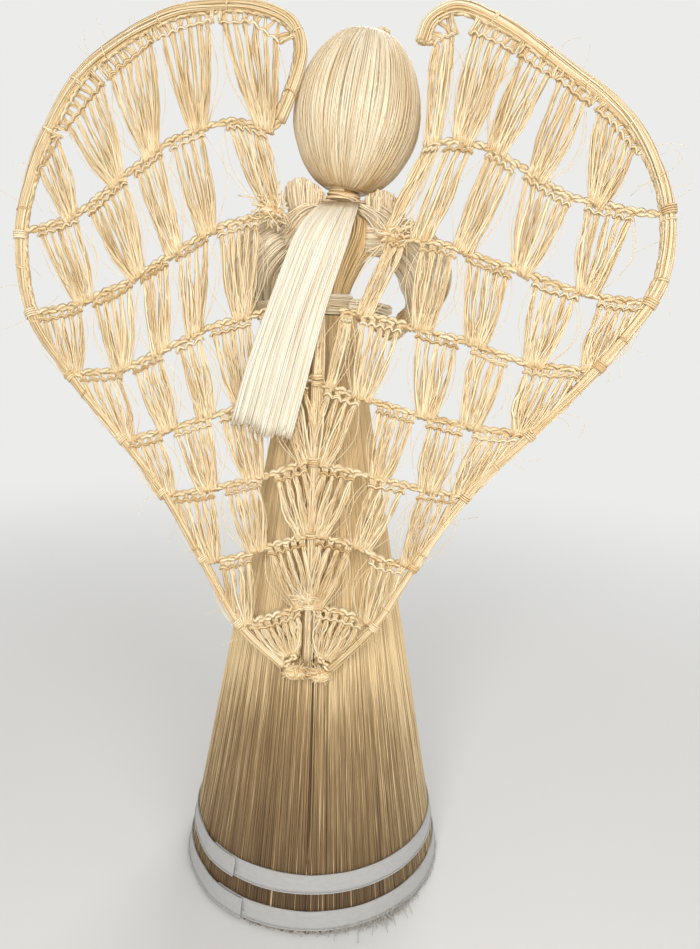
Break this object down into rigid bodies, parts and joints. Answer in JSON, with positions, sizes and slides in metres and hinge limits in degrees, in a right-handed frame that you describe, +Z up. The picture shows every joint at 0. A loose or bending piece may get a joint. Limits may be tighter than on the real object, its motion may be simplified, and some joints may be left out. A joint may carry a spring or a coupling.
{
  "type": "fibre angel doll",
  "caption": "Angel doll of dried plant fibre: cone skirt, bundled body, round head with a hair tail, balloon sleeves, and two crocheted lace wings on wired rims",
  "frame": {"origin": "middle of the skirt's base ring, on the surface that the doll stands on", "axes": "+Z up, +X to the right wing's side, +Y the way the doll's front faces; its wings are at -Y"},
  "size_m": [0.2133, 0.0996, 0.308],
  "materials": {
    "card": "matte paperboard",
    "skirt_fibre": "satin dried fibre",
    "ribbon": "woven satin ribbon",
    "bodice_fibre": "satin dried fibre",
    "hair_fibre": "silky fibre",
    "sleeve_fibre": "satin dried fibre",
    "lace_thread": "crocheted fibre",
    "binding_thread": "twisted thread",
    "ball": "foam",
    "wire": "plain wire"
  },
  "bodies": {
    "root": {"skirt_card_cone": "card", "skirt_fibre_wrap": "skirt_fibre", "hem_ribbon_lower": "ribbon", "hem_ribbon_upper": "ribbon", "spine_wire": "wire", "bodice_bundle": "bodice_fibre", "arm_wire": "wire", "waist_sash": "hair_fibre", "sash_tail_left": "hair_fibre", "sash_tail_right": "hair_fibre", "head_hair": "hair_fibre", "head_ball": "ball", "neck_tie": "binding_thread", "ruff_left": "hair_fibre", "ruff_right": "hair_fibre", "sleeve_left": "sleeve_fibre", "sleeve_right": "sleeve_fibre", "cuff_tie_left": "binding_thread", "cuff_tie_right": "binding_thread", "hand_left": "sleeve_fibre", "hand_right": "sleeve_fibre", "wing_seam_cord": "binding_thread", "wing_knot_waist": "binding_thread", "wing_knot_chest": "binding_thread"},
    "left_wing": {"wing_left_lace": "lace_thread", "wing_left_rim": "lace_thread", "wing_left_rim_wire": "wire", "wing_left_tip_knot": "lace_thread", "wing_left_rim_tie_1": "binding_thread", "wing_left_rim_tie_2": "binding_thread", "wing_left_rim_tie_3": "binding_thread", "wing_left_rim_tie_4": "binding_thread", "wing_left_rim_tie_5": "binding_thread", "wing_left_rim_tie_6": "binding_thread", "wing_left_rim_tie_7": "binding_thread"},
    "right_wing": {"wing_right_lace": "lace_thread", "wing_right_rim": "lace_thread", "wing_right_rim_wire": "wire", "wing_right_tip_knot": "lace_thread", "wing_right_rim_tie_1": "binding_thread", "wing_right_rim_tie_2": "binding_thread", "wing_right_rim_tie_3": "binding_thread", "wing_right_rim_tie_4": "binding_thread", "wing_right_rim_tie_5": "binding_thread", "wing_right_rim_tie_6": "binding_thread", "wing_right_rim_tie_7": "binding_thread"},
    "hair_tail": {"hair_tail": "hair_fibre"}
  },
  "joints": [
    {"name": "left_wing_fold", "type": "hinge", "parent": "root", "child": "left_wing", "pos_m": [-0.0012, -0.03668, 0.089], "axis": [0, 0.1416, 0.9899], "range_deg": [0, 40]},
    {"name": "right_wing_fold", "type": "hinge", "parent": "root", "child": "right_wing", "pos_m": [0.0012, -0.03668, 0.089], "axis": [0, -0.1416, -0.9899], "range_deg": [0, 40]},
    {"name": "hair_tail_lift", "type": "hinge", "parent": "root", "child": "hair_tail", "pos_m": [0.005, -0.0023, 0.2467], "axis": [-1, 0, 0], "range_deg": [0, 26.5]}
  ],
  "couplings": [
    {"joint": "hair_tail_lift", "follows": "left_wing_fold", "ratio": 0.65}
  ]
}
